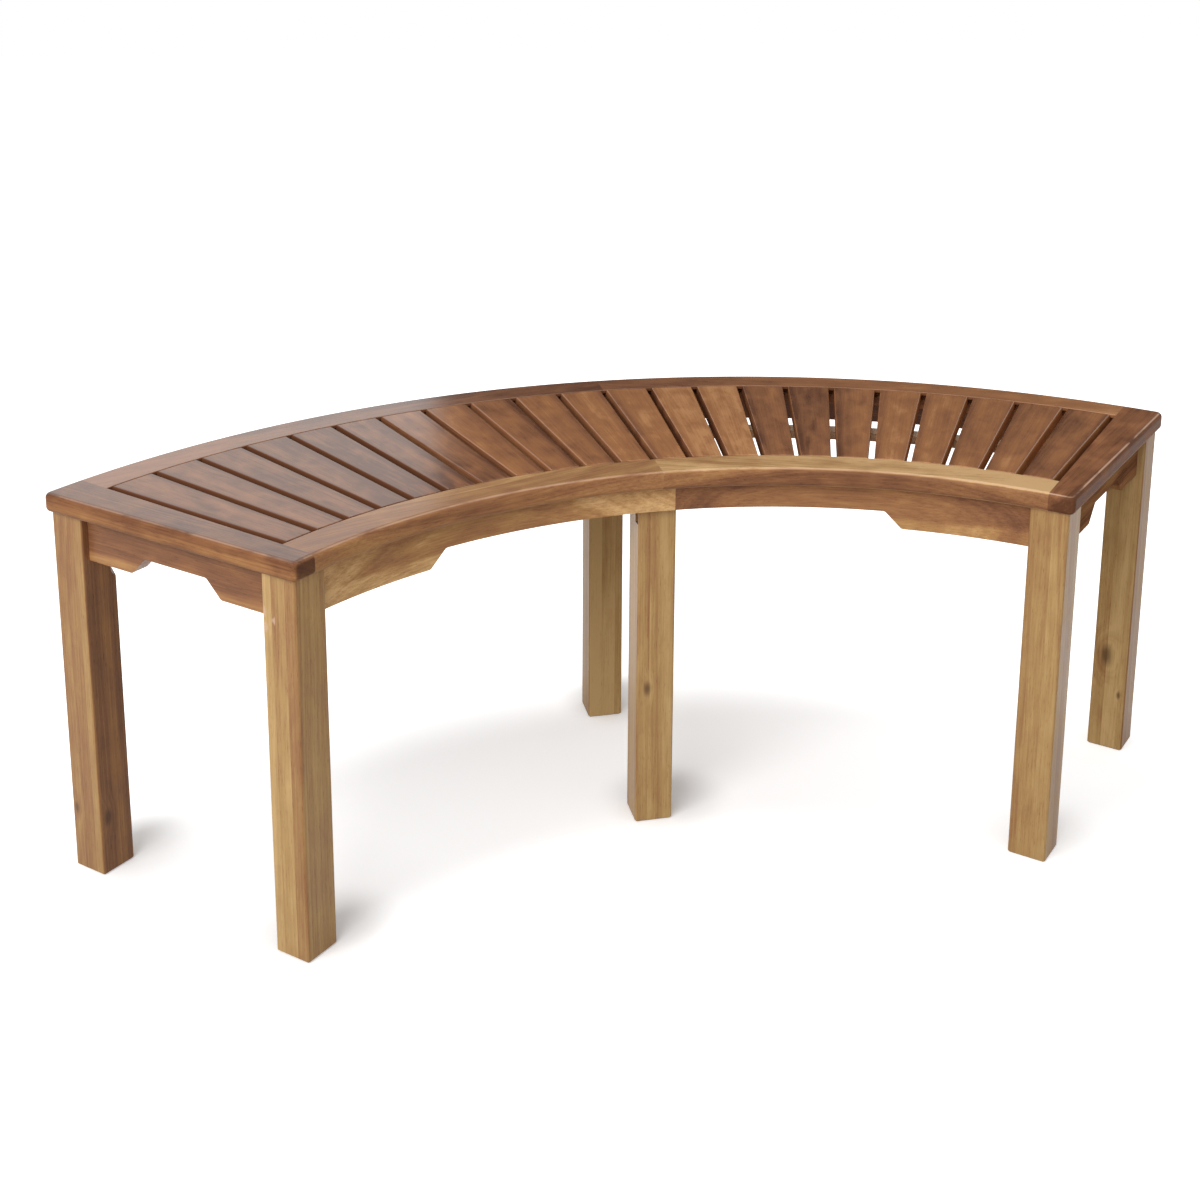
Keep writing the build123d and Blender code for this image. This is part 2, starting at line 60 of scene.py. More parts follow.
# Soft steps over a board's faces and noises: where each begins and where it is complete
COATED_FACES = (0.65, 0.97)
# Upright faces and faces towards a side, which take painted light and shade
PAINTED_UPRIGHT_FACES = (0.93, 0.55)
PAINTED_SHADE_FACES = (0.4, 0.8)
END_GRAIN_FACES = (0.75, 0.95)
# Where the worn brinks with their painted highlight lie
BRINK_ABOVE_UPRIGHT = (0.74, 0.84)
BRINK_BELOW_LEVEL = (0.98, 0.90)
HEART_BANDS = (0.36, 0.64)
OPEN_PORES = (0.58, 0.74)
WORN_AND_HIGHLIT_PATCHES = (0.32, 0.56)
SLAT_EDGES = (0.62, 1.05)
KNOT_PULL = (3.2, 0.0)
KNOT_EYE = (1.3, 0.2)
SCUFF_PATCH = (1.1, 0.6)

# Ranges of the random draws that give each board its own log and its own place in it
FIRST_SEAM = (0.2, 0.8)
STRIP_SEED = (0, 99)
LOG_PLACE = (-9, 9)
HEART_ASIDE = (0.012, 0.05)
HEART_DEPTH = (0.04, 0.09)
GRAIN_LEAN = (-0.05, 0.05)

# Amounts that are the same for every board
NOISE_MIDDLE = 0.5
STRIP_SHIFT = 7.0
SWAY_ACROSS = 0.03
SWAY_DEEP = 0.012
SAP_BLUR = 0.003
JOINT_WIDTH = 0.001
EDGE_RAGGEDNESS = 0.9
SCUFF_RAGGEDNESS = 3.0
SPOT_LENGTH = 2.0
KNOT_BEND = 1.4
MARK_SHARE = 0.7
MOTTLE_ROUGHNESS = 0.25
FIBRE_ROUGHNESS = 0.15
BUMP_STRENGTH = 0.25
BUMP_HEIGHT = 0.0005


def linear(step: int) -> float:
    """Linear share of one eight-bit display step."""
    share = step / 255
    return share / 12.92 if share <= 0.04045 else ((share + 0.055) / 1.055) ** 2.4


def srgb(red: int, green: int, blue: int) -> Colour:
    """Linear colour of a display colour given in eight-bit steps."""
    return linear(red), linear(green), linear(blue)


def outward(angle: float) -> Vector:
    """Horizontal direction away from the arc's centre at an angle in degrees."""
    return Vector((math.sin(math.radians(angle)), math.cos(math.radians(angle)), 0))


def along(angle: float) -> Vector:
    """Horizontal direction of growing angle."""
    return Vector((math.cos(math.radians(angle)), -math.sin(math.radians(angle)), 0))


class Value:
    """A number that changes over a surface; arithmetic on it adds Math nodes."""

    def __init__(self, graph: "Graph", socket: bpy.types.NodeSocket) -> None:
        """Wrap an output socket of the graph."""
        self.graph = graph
        self.socket = socket

    def _math(self, operation: str, first: Number, second: Number = 0.0) -> "Value":
        """Add one Math node and wrap its result."""
        return self.graph.number("ShaderNodeMath", {"operation": operation}, {0: first, 1: second})

    def __add__(self, other: Number) -> "Value":
        """Sum."""
        return self._math("ADD", self, other)

    __radd__ = __add__

    def __sub__(self, other: Number) -> "Value":
        """Difference."""
        return self._math("SUBTRACT", self, other)

    def __rsub__(self, other: Number) -> "Value":
        """Difference from a plain number."""
        return self._math("SUBTRACT", other, self)

    def __mul__(self, other: Number) -> "Value":
        """Product."""
        return self._math("MULTIPLY", self, other)

    __rmul__ = __mul__

    def __truediv__(self, other: Number) -> "Value":
        """Quotient."""
        return self._math("DIVIDE", self, other)

    def __rtruediv__(self, other: Number) -> "Value":
        """Quotient of a plain number."""
        return self._math("DIVIDE", other, self)

    def __abs__(self) -> "Value":
        """Size without its sign."""
        return self._math("ABSOLUTE", self)

    def floor(self) -> "Value":
        """Whole number at or below."""
        return self._math("FLOOR", self)

    def least(self, other: Number) -> "Value":
        """The smaller of two."""
        return self._math("MINIMUM", self, other)

    def root(self) -> "Value":
        """Square root."""
        return self._math("SQRT", self)

    def swing(self) -> "Value":
        """How far a noise lies above its middle."""
        return self - NOISE_MIDDLE

    def smooth(self, low: float, high: float) -> "Value":
        """Soft step from 0 to 1.

        Args:
            low: where the step begins.
            high: where it is complete, which may be below its beginning.

        Returns:
            The step.
        """
        settings = {"interpolation_type": "SMOOTHSTEP"}
        inputs = {"Value": self, "From Min": low, "From Max": high}
        return self.graph.number("ShaderNodeMapRange", settings, inputs)


@dataclass(frozen=True)
class Waves:
    """A cloudy noise: its waves per metre along and across the grain, its detail and its twist."""

    lengthwise: float
    across: float
    detail: float
    twist: float = 0.0


SWAY = Waves(3.0, 9.0, 1.0)
FIBRE = Waves(14.0, 520.0, 4.0)
MOTTLE = Waves(20.0, 42.0, 4.0, 0.4)
PORES = Waves(95.0, 1300.0, 2.0)
SPANGLE = Waves(420.0, 420.0, 2.0)


class Graph:
    """Node tree of one material or of the world."""

    def __init__(self, owner: Union[bpy.types.Material, bpy.types.World]) -> None:
        """Start an empty node tree.

        Args:
            owner: the material or world that gets the nodes.
        """
        self.owner = owner
        owner.use_nodes = True
        self.tree = owner.node_tree
        self.tree.nodes.clear()

    def node(self, kind: str, settings: dict[str, object], inputs: dict[object, object]) -> bpy.types.Node:
        """Add any node.

        Args:
            kind: Blender's name of the node type.
            settings: properties set first; "stops" fills a colour ramp.
            inputs: socket name or number to a Value, a socket or a plain value.

        Returns:
            The new node.
        """
        made = self.tree.nodes.new(kind)
        for name, setting in settings.items():
            if name == "stops":
                self._fill_ramp(made.color_ramp, setting)
            else:
                setattr(made, name, setting)
        for key, value in inputs.items():
            socket = made.inputs[key]
            if isinstance(value, Value):
                value = value.socket
            if isinstance(value, bpy.types.NodeSocket):
                self.tree.links.new(value, socket)
            else:
                socket.default_value = value
        return made

    @staticmethod
    def _fill_ramp(ramp: bpy.types.ColorRamp, stops: Stops) -> None:
        """Give a colour ramp its stops.

        Args:
            ramp: the ramp, fresh from a new node.
            stops: places from 0 to 1 with their colours.
        """
        while len(ramp.elements) < len(stops):
            ramp.elements.new(1.0)
        for element, (place, colour) in zip(ramp.elements, stops):
            element.position = place
            element.color = (*colour, 1.0)

    def number(self, kind: str, settings: dict[str, object], inputs: dict[object, object]) -> Value:
        """Add a node and wrap its first output as a number."""
        return Value(self, self.node(kind, settings, inputs).outputs[0])

    def point(self) -> bpy.types.NodeSocket:
        """Object coordinates of the shaded point."""
        return self.node("ShaderNodeTexCoord", {}, {}).outputs["Object"]

    def place(self, centre: Vector, turn: Matrix) -> bpy.types.NodeSocket:
        """Object coordinates turned into a board's own: x along its grain, y across, z through it."""
        inputs = {"Vector": self.point(), "Location": centre, "Rotation": turn.to_euler()}
        return self.node("ShaderNodeMapping", {"vector_type": "TEXTURE"}, inputs).outputs[0]

    def seen(self) -> Value:
        """Tell sight from scattered light.

        Returns:
            1 on rays from the eye, in gloss and through glass, and 0 on rays of scattered light.
        """
        rays = self.node("ShaderNodeLightPath", {}, {}).outputs
        seen = Value(self, rays["Is Camera Ray"]) + Value(self, rays["Is Glossy Ray"])
        return seen + Value(self, rays["Is Transmission Ray"])

    def vector(self, operation: str, first: object, second: object) -> bpy.types.NodeSocket:
        """Vector Math of two vectors."""
        return self.node("ShaderNodeVectorMath", {"operation": operation}, {0: first, 1: second}).outputs[0]

    def split(self, vector: bpy.types.NodeSocket) -> list[Value]:
        """The three numbers of a vector."""
        parts = self.node("ShaderNodeSeparateXYZ", {}, {0: vector})
        return [Value(self, output) for output in parts.outputs]

    def dot(self, first: object, second: object) -> Value:
        """Dot product of two vectors."""
        made = self.node("ShaderNodeVectorMath", {"operation": "DOT_PRODUCT"}, {0: first, 1: second})
        return Value(self, made.outputs["Value"])

    def join(self, x: Number, y: Number, z: Number) -> bpy.types.NodeSocket:
        """A vector of three numbers."""
        return self.node("ShaderNodeCombineXYZ", {}, {0: x, 1: y, 2: z}).outputs[0]

    def noise(self, vector: object, waves: Waves) -> Value:
        """Cloudy noise about its middle.

        Args:
            vector: coordinates in metres.
            waves: the kind of noise.

        Returns:
            The noise.
        """
        scaled = self.vector("MULTIPLY", vector, (waves.lengthwise, waves.across, waves.across))
        inputs = {"Vector": scaled, "Scale": 1.0, "Detail": waves.detail, "Distortion": waves.twist}
        return self.number("ShaderNodeTexNoise", {}, inputs)

    def noise_line(self, value: Value, detail: float) -> Value:
        """Noise along one number."""
        inputs = {"W": value, "Scale": 1.0, "Detail": detail}
        return self.number("ShaderNodeTexNoise", {"noise_dimensions": "1D"}, inputs)

    def chance(self, value: Value) -> Value:
        """A random number from 0 to 1 for each value."""
        return self.number("ShaderNodeTexWhiteNoise", {"noise_dimensions": "1D"}, {"W": value})

    def ramp(self, value: Value, stops: Stops) -> bpy.types.NodeSocket:
        """Colour of a number along a ramp."""
        return self.node("ShaderNodeValToRGB", {"stops": stops}, {0: value}).outputs[0]

    def mix(self, share: Number, first: object, second: object) -> bpy.types.NodeSocket:
        """Mix of two colours."""
        inputs = {"Factor": share, 6: self._opaque(first), 7: self._opaque(second)}
        return self.node("ShaderNodeMix", {"data_type": "RGBA"}, inputs).outputs[2]

    @staticmethod
    def _opaque(colour: object) -> object:
        """A plain colour with full alpha, or a colour socket as it is."""
        return (*colour, 1.0) if isinstance(colour, tuple) else colour

    def finish(self, shader: bpy.types.NodeSocket) -> Union[bpy.types.Material, bpy.types.World]:
        """Send a shader to the output.

        Args:
            shader: the last shader of the tree.

        Returns:
            The material or world.
        """
        world = isinstance(self.owner, bpy.types.World)
        self.node("ShaderNodeOutputWorld" if world else "ShaderNodeOutputMaterial", {}, {"Surface": shader})
        return self.owner


class Tone(Enum):
    """How light a board is, as a place on its finish's colour ramp."""

    UMBER = 0.16
    DARK = 0.27
    RUSSET = 0.38
    BROWN = 0.50
    TAN = 0.62
    GOLDEN = 0.74
    PALE = 0.86
    CREAM = 0.96


@dataclass(frozen=True)
class Spot:
    """A small round mark: its place along, across and through the board from its middle, and its radius."""

    along: float
    across: float
    deep: float
    radius: float


@dataclass
class Board:
    """One wooden piece of the bench, the run of its grain, what its own timber shows and the light and
    shade painted on its faces.

    Steps are changes of tone: painted light and shade on upright faces, painted shade on faces towards
    a side, and a step past a glued joint. Fades are changes of tone per metre along the grain, and the
    upright fade, painted shade that changes along the board, is added on upright faces only.
    The strip is the width of glued strips, the sap line is where sapwood begins across the board, and
    half width and taper give a slat's darker long edges.
    """

    node: str
    grain: Vector
    across: Vector
    tone: Tone
    strip: float = 0.0
    knots: list[Spot] = field(default_factory=list)
    scuffs: list[Spot] = field(default_factory=list)
    # Painted light and shade on upright faces, and painted shade on the faces towards one side
    painted_upright_shading: float = 0.0
    painted_upright_fade: float = 0.0
    side: Vector = field(default_factory=lambda: UP)
    painted_side_shade: float = 0.0
    fade: float = 0.0
    sap_line: float = 0.0
    half_width: float = 0.0
    taper: float = 0.0
    joint: float = 0.0
    joint_step: float = 0.0

    @property
    def centre(self) -> Vector:
        """Middle of the piece's box."""
        low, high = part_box(self.node)
        return (low + high) / 2

    @property
    def turn(self) -> Matrix:
        """Turn from the board's own axes to the bench's.

        Returns:
            A matrix whose columns are the grain, the width and the depth.
        """
        grain = self.grain.normalized()
        across = self.across.normalized()
        return Matrix((grain, across, grain.cross(across))).transposed()

    def dress(self, finish: "Acacia") -> None:
        """Give the piece its own material in a finish."""
        give_material(self.node, finish.material(self))


def give_material(node: str, material: bpy.types.Material) -> None:
    """Put a material on a piece that came from the part."""
    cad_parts[node].material_slots[0].material = material
    log.info("%s: %s", node, material.name)


class BoardSpace:
    """A board's own coordinates, noises and normal inside its material."""

    def __init__(self, graph: Graph, board: Board, chance: random.Random) -> None:
        """Set up the coordinates, with the glued strips moved against each other.

        Args:
            graph: the material's nodes.
            board: the piece.
            chance: the piece's own random numbers.
        """
        place = graph.place(board.centre, board.turn)
        self.graph = graph
        self.lengthwise, self.across, self.deep = graph.split(place)
        self.strip: Number = NOISE_MIDDLE
        if board.strip:
            number = (self.across / board.strip + chance.uniform(*FIRST_SEAM)).floor()
            self.strip = graph.chance(number + chance.uniform(*STRIP_SEED))
        shift = tuple(chance.uniform(*LOG_PLACE) for _ in range(3))
        self.moved = graph.vector("ADD", place, shift)
        self.moved = graph.vector("ADD", self.moved, graph.join(self.strip * STRIP_SHIFT, 0.0, 0.0))
        self.sway = graph.noise(self.moved, SWAY)
        self.fibre = graph.noise(self.moved, FIBRE)
        self.mottle = graph.noise(self.moved, MOTTLE)
        self.facing = graph.node("ShaderNodeNewGeometry", {}, {}).outputs["Normal"]
        self.flatness = abs(graph.split(self.facing)[2])

    def from_spot(self, spot: Spot) -> Value:
        """Distance from a spot, with the spot drawn out along the grain.

        Args:
            spot: the mark.

        Returns:
            The distance in the spot's radii.
        """
        lengthwise = (self.lengthwise - spot.along) / (spot.radius * SPOT_LENGTH)
        across = (self.across - spot.across) / spot.radius
        deep = (self.deep - spot.deep) / spot.radius
        return (lengthwise * lengthwise + across * across + deep * deep).root()


@dataclass(frozen=True)
class Acacia:
    """Oiled acacia: heartwood bands, growth lines, fibres, mottling and pores change each board's tone."""

    name: str
    stops: Stops
    end_colour: Colour = srgb(70, 46, 36)
    end_share: float = 0.65
    heart: float = 0.18
    lines: float = 0.30
    fibre: float = 0.45
    mottle: float = 1.00
    pores: float = 0.20
    strip_step: float = 0.22
    sap_step: float = 0.24
    edge_step: float = 0.28
    edge_wear_and_highlight: float = 0.0
    roughness: float = 0.38
    specular: float = 0.30
    coat: float = 0.0
    coat_roughness: float = 0.16
    coat_ior: float = 1.6
    hearts_per_metre: float = 34.0
    heart_detail: float = 1.0
    lines_per_metre: float = 300.0
    line_detail: float = 2.0
    knot_colour: Colour = srgb(74, 48, 32)
    wear_and_highlight_colour: Colour = srgb(222, 184, 158)

    def material(self, board: Board) -> bpy.types.Material:
        """Build the material of one board.

        Args:
            board: the piece, whose name also seeds its pattern.

        Returns:
            A material on Object coordinates.
        """
        chance = random.Random(board.node)
        graph = Graph(bpy.data.materials.new(f"{self.name}_{board.node}"))
        space = BoardSpace(graph, board, chance)
        tone = self._figure(space, board, chance) + self._timber(space, board)
        colour = self._marks(space, board, graph.ramp(tone, self.stops))
        rough = space.mottle.swing() * MOTTLE_ROUGHNESS + space.fibre.swing() * FIBRE_ROUGHNESS
        bump = graph.node("ShaderNodeBump", {}, {
            "Strength": BUMP_STRENGTH,
            "Distance": BUMP_HEIGHT,
            "Height": space.fibre,
        })
        shader = graph.node("ShaderNodeBsdfPrincipled", {}, {
            "Base Color": colour,
            "Roughness": rough + self.roughness,
            "Specular IOR Level": self.specular,
            "Coat Weight": space.flatness.smooth(*COATED_FACES) * self.coat,
            "Coat Roughness": self.coat_roughness,
            "Coat IOR": self.coat_ior,
            "Normal": bump.outputs[0],
        })
        return graph.finish(shader.outputs[0])

    def _figure(self, space: BoardSpace, board: Board, chance: random.Random) -> Value:
        """Tone of the wood's figure: bands and lines round the tree's heart, fibres, mottling and pores.

        Args:
            space: the board's coordinates and noises.
            board: the piece, whose knots bend the lines.
            chance: the piece's own random numbers.

        Returns:
            The change of tone.
        """
        across = space.across - chance.uniform(*HEART_ASIDE) * chance.choice((-1, 1))
        across = across + space.lengthwise * chance.uniform(*GRAIN_LEAN) + space.sway.swing() * SWAY_ACROSS
        deep = space.deep - chance.uniform(*HEART_DEPTH) * chance.choice((-1, 1))
        deep = deep + space.sway.swing() * SWAY_DEEP
        ring = (across * across + deep * deep).root() + space.strip * STRIP_SHIFT
        for knot in board.knots:
            ring = ring + space.from_spot(knot).smooth(*KNOT_PULL) * (knot.radius * KNOT_BEND)
        graph = space.graph
        heart = graph.noise_line(ring * self.hearts_per_metre, self.heart_detail).smooth(*HEART_BANDS)
        lines = graph.noise_line(ring * self.lines_per_metre, self.line_detail)
        tone = heart.swing() * self.heart + lines.swing() * self.lines
        tone = tone + space.fibre.swing() * self.fibre + space.mottle.swing() * self.mottle
        return tone - graph.noise(space.moved, PORES).smooth(*OPEN_PORES) * self.pores

    def _timber(self, space: BoardSpace, board: Board) -> Value:
        """Tone of the board as a whole, with its strips, faces, joint, sapwood and edges.

        Args:
            space: the board's coordinates and noises.
            board: the piece.

        Returns:
            The tone.
        """
        tone = space.lengthwise * board.fade + board.tone.value
        if board.strip:
            tone = tone + space.strip.swing() * self.strip_step
        # Painted light and shade: upright faces get a tone of their own, which may fade along the board
        if board.painted_upright_shading:
            step = space.lengthwise * board.painted_upright_fade + board.painted_upright_shading
            tone = tone + space.flatness.smooth(*PAINTED_UPRIGHT_FACES) * step
        # Painted shade on the faces towards the board's shaded side
        if board.painted_side_shade:
            painted_shade_share = space.graph.dot(space.facing, board.side).smooth(*PAINTED_SHADE_FACES)
            tone = tone + painted_shade_share * board.painted_side_shade
        if board.joint_step:
            tone = tone + space.lengthwise.smooth(board.joint, board.joint + JOINT_WIDTH) * board.joint_step
        if board.sap_line:
            depth = space.across + space.sway.swing() * SWAY_ACROSS
            tone = tone + depth.smooth(board.sap_line + SAP_BLUR, board.sap_line - SAP_BLUR) * self.sap_step
        if board.half_width:
            edge = abs(space.across) / (space.lengthwise * board.taper + board.half_width)
            edge = edge + space.mottle.swing() * EDGE_RAGGEDNESS
            tone = tone - edge.smooth(*SLAT_EDGES) * self.edge_step
        return tone

    def _marks(self, space: BoardSpace, board: Board, colour: bpy.types.NodeSocket) -> bpy.types.NodeSocket:
        """Add knots, scuffs, end grain and worn edges with a painted highlight to the wood's colour.

        Args:
            space: the board's coordinates and noises.
            board: the piece.
            colour: the wood's colour.

        Returns:
            The marked colour.
        """
        graph = space.graph
        for knot in board.knots:
            eye = space.from_spot(knot).smooth(*KNOT_EYE)
            colour = graph.mix(eye * MARK_SHARE, colour, self.knot_colour)
        for scuff in board.scuffs:
            ragged = space.from_spot(scuff) + space.fibre.swing() * SCUFF_RAGGEDNESS
            colour = graph.mix(ragged.smooth(*SCUFF_PATCH) * MARK_SHARE, colour, self.wear_and_highlight_colour)
        end = abs(graph.dot(space.facing, board.grain.normalized()))
        colour = graph.mix(end.smooth(*END_GRAIN_FACES) * self.end_share, colour, self.end_colour)
        # Worn brinks with a painted highlight: a pale band where the rounded edge turns from level to
        # upright
        if self.edge_wear_and_highlight:
            brink = space.flatness.smooth(*BRINK_ABOVE_UPRIGHT) * space.flatness.smooth(*BRINK_BELOW_LEVEL)
            worn_and_highlit = brink * space.mottle.smooth(*WORN_AND_HIGHLIT_PATCHES)
            colour = graph.mix(worn_and_highlit * self.edge_wear_and_highlight, colour, self.wear_and_highlight_colour)
        return colour


@dataclass(frozen=True)
class ZincSteel:
    """Zinc plated fasteners with a faint spangle."""

    bright: Colour = srgb(190, 190, 184)
    dull: Colour = srgb(148, 148, 142)
    patches: Reach = (0.35, 0.65)
    roughness: float = 0.36
    spangle_roughness: float = 0.2

    def material(self) -> bpy.types.Material:
        """Build the metal's material.

        Returns:
            A material on Object coordinates.
        """
        graph = Graph(bpy.data.materials.new("zinc_steel_plated"))
        spangle = graph.noise(graph.point(), SPANGLE)
        shader = graph.node("ShaderNodeBsdfPrincipled", {}, {
            "Base Color": graph.mix(spangle.smooth(*self.patches), self.dull, self.bright),
            "Roughness": spangle.swing() * self.spangle_roughness + self.roughness,
            "Metallic": 1.0,
        })
        return graph.finish(shader.outputs[0])


SEAT_STOPS = (
    (0.0, srgb(112, 72, 50)),
    (0.26, srgb(146, 98, 67)),
    (0.50, srgb(168, 114, 76)),
    (0.74, srgb(185, 127, 82)),
    (1.0, srgb(212, 154, 104)),
)
FRAME_STOPS = (
    (0.0, srgb(92, 58, 40)),
    (0.28, srgb(134, 92, 62)),
    (0.50, srgb(160, 115, 74)),
    (0.74, srgb(186, 148, 96)),
    (1.0, srgb(212, 176, 122)),
)
RAIL_STOPS = (
    (0.0, srgb(96, 60, 42)),
    (0.28, srgb(138, 93, 63)),
    (0.50, srgb(164, 115, 76)),
    (0.74, srgb(190, 143, 92)),
    (1.0, srgb(234, 190, 134)),
)
DOWEL_STOPS = (
    (0.0, srgb(150, 112, 78)),
    (0.5, srgb(190, 152, 112)),
    (1.0, srgb(214, 184, 146)),
)
# Pale ramp for painted light on the batten's top, seen through the gaps, down to painted shade on its
# fronts
BATTEN_PAINTED_LIGHT_STOPS = (
    (0.0, srgb(112, 76, 52)),
    (0.5, srgb(196, 160, 122)),
    (1.0, srgb(236, 216, 186)),
)
SLAT_WOOD = Acacia("slat_acacia", SEAT_STOPS, mottle=1.1, coat=1.0, specular=0.0)
RAIL_WOOD = Acacia("rail_acacia", RAIL_STOPS, mottle=0.6, edge_wear_and_highlight=0.4, coat=0.7, specular=0.1)
OUTER_WOOD = Acacia("outer_acacia", SEAT_STOPS, mottle=0.8, edge_wear_and_highlight=0.3, coat=1.0, specular=0.05)
END_WOOD = Acacia("end_acacia", RAIL_STOPS, mottle=0.8, edge_wear_and_highlight=0.3, coat=0.9, specular=0.05)
DULL_END_WOOD = Acacia("dull_end_acacia", SEAT_STOPS, mottle=0.9, edge_wear_and_highlight=0.8, specular=0.016, end_share=0.25)
APRON_WOOD = Acacia("apron_acacia", RAIL_STOPS, heart=0.22, mottle=0.5, specular=0.15)
DULL_APRON_WOOD = Acacia("dull_apron_acacia", RAIL_STOPS, heart=0.22, mottle=0.5, specular=0.0)
LEG_WOOD = Acacia("leg_acacia", FRAME_STOPS, heart=0.25, mottle=0.4, fibre=0.4, specular=0.2)
DULL_LEG_WOOD = Acacia("dull_leg_acacia", FRAME_STOPS, heart=0.25, mottle=0.4, fibre=0.4, specular=0.08)
INNER_WOOD = Acacia("inner_acacia", SEAT_STOPS)
BATTEN_PAINTED_LIGHT_WOOD = Acacia("batten_acacia", BATTEN_PAINTED_LIGHT_STOPS, mottle=0.5)
DOWEL_WOOD = Acacia("dowel_beech", DOWEL_STOPS, mottle=0.3)


@dataclass
class SlatField:
    """The tapered slats, each with its own tone, from the left end to the right."""

    tones: tuple[Tone, ...] = (
        Tone.DARK, Tone.UMBER, Tone.DARK, Tone.UMBER, Tone.UMBER, Tone.DARK, Tone.RUSSET, Tone.TAN,
        Tone.RUSSET, Tone.TAN, Tone.TAN, Tone.TAN, Tone.CREAM, Tone.CREAM, Tone.BROWN, Tone.RUSSET,
        Tone.BROWN, Tone.GOLDEN, Tone.TAN, Tone.TAN, Tone.BROWN, Tone.RUSSET,
    )
    left_count: int = 6
    middle_count: int = 9
    # Painted light and shade in the gaps: the tones of the slats' long walls, dark on the left and lighter
    # towards the right
    left_wall_painted_light: float = 0.0
    middle_wall: float = 0.42
    right_wall_painted_light: float = 0.85

    def dress(self) -> None:
        """Give every slat its board and finish."""
        taper = math.tan(math.radians(SLAT_PITCH / 2))
        for index, tone in enumerate(self.tones):
            angle = (index + 0.5) * SLAT_PITCH - END_GAP_ANGLE
            slat = Board(f"slat_{index + 1:02d}", outward(angle), along(angle), tone)
            # The walls take the painted light of the gaps in place of the slat's own tone
            slat.painted_upright_shading = self._painted_wall_light(index) - tone.value
            slat.taper = taper
            slat.half_width = MIDDLE_RADIUS * taper - SLAT_GAP / 2
            slat.dress(SLAT_WOOD)

    def _painted_wall_light(self, index: int) -> float:
        """Painted light and shade on a slat's long walls, seen in the gaps: dark on the left, lighter in
        the middle and lightest on the right.

        Args:
            index: the slat's number from the left, from 0.

        Returns:
            The tone.
        """
        if index < self.left_count:
            return self.left_wall_painted_light
        return self.middle_wall if index < self.left_count + self.middle_count else self.right_wall_painted_light


@dataclass(frozen=True)
class RailTones:
    """Tones of the rails in one half of the seat, with painted shade on the inner rail's fascia, painted
    light on the end rail's sides, and their fades.
    """

    inner: Tone
    inner_painted_fascia_shade: float
    inner_fade: float
    inner_painted_fascia_fade: float
    outer: Tone
    outer_fade: float
    end: Tone
    end_upright: float
    end_finish: Acacia


LEFT_RAILS = RailTones(
    inner=Tone.TAN, inner_painted_fascia_shade=-0.12, inner_fade=0.6, inner_painted_fascia_fade=-0.6,
    outer=Tone.UMBER, outer_fade=-0.45,
    end=Tone.DARK, end_upright=0.14, end_finish=END_WOOD,
)
RIGHT_RAILS = RailTones(
    inner=Tone.CREAM, inner_painted_fascia_shade=-0.57, inner_fade=0.8, inner_painted_fascia_fade=-0.95,
    outer=Tone.TAN, outer_fade=0.8,
    end=Tone.UMBER, end_upright=0.0, end_finish=DULL_END_WOOD,
)


@dataclass
class SeatFrame:
    """Curved and straight rails around the slats, and the batten halves under them."""

    halves: tuple[RailTones, RailTones] = (LEFT_RAILS, RIGHT_RAILS)
    # Painted shade on the outer rails' hollow faces, which lie in shade under the seat
    outer_painted_hollow_shade: float = -0.5
    # Painted light on the batten's top and painted shade on its upright fronts
    batten_tone: Tone = Tone.CREAM
    batten_upright_step: float = -0.8

    def dress(self) -> None:
        """Give the rails and battens of both halves their boards and finishes."""
        for (name, side), tones in zip(SIDES, self.halves):
            self._dress_half(name, side, tones)

    def _dress_half(self, name: str, side: int, tones: RailTones) -> None:
        """Give the rails and the batten of one half their boards and finishes.

        Args:
            name: left or right.
            side: -1 for left, 1 for right.
            tones: the half's tones.
        """
        chord = along(side * CHORD_ANGLE)
        width = outward(side * CHORD_ANGLE)
        inner_rail = Board(f"inner_rail_{name}", chord, width, tones.inner, fade=tones.inner_fade)
        # Painted shade on the inner rail's fascia, darker than its top and fading along the rail
        inner_rail.painted_upright_shading = tones.inner_painted_fascia_shade
        inner_rail.painted_upright_fade = tones.inner_painted_fascia_fade
        inner_rail.dress(RAIL_WOOD)
        outer_rail = Board(f"outer_rail_{name}", chord, width, tones.outer, fade=tones.outer_fade)
        # Painted shade on the outer rail's hollow face
        outer_rail.side = -width
        outer_rail.painted_side_shade = self.outer_painted_hollow_shade
        outer_rail.dress(OUTER_WOOD)
        end = side * HALF_ANGLE
        end_rail = Board(f"end_rail_{name}", outward(end), along(end), tones.end)
        # Painted light on the end rail's upright sides
        end_rail.painted_upright_shading = tones.end_upright
        end_rail.dress(tones.end_finish)
        batten = Board(f"batten_{name}", chord, width, self.batten_tone)
        batten.painted_upright_shading = self.batten_upright_step
        batten.dress(BATTEN_PAINTED_LIGHT_WOOD)


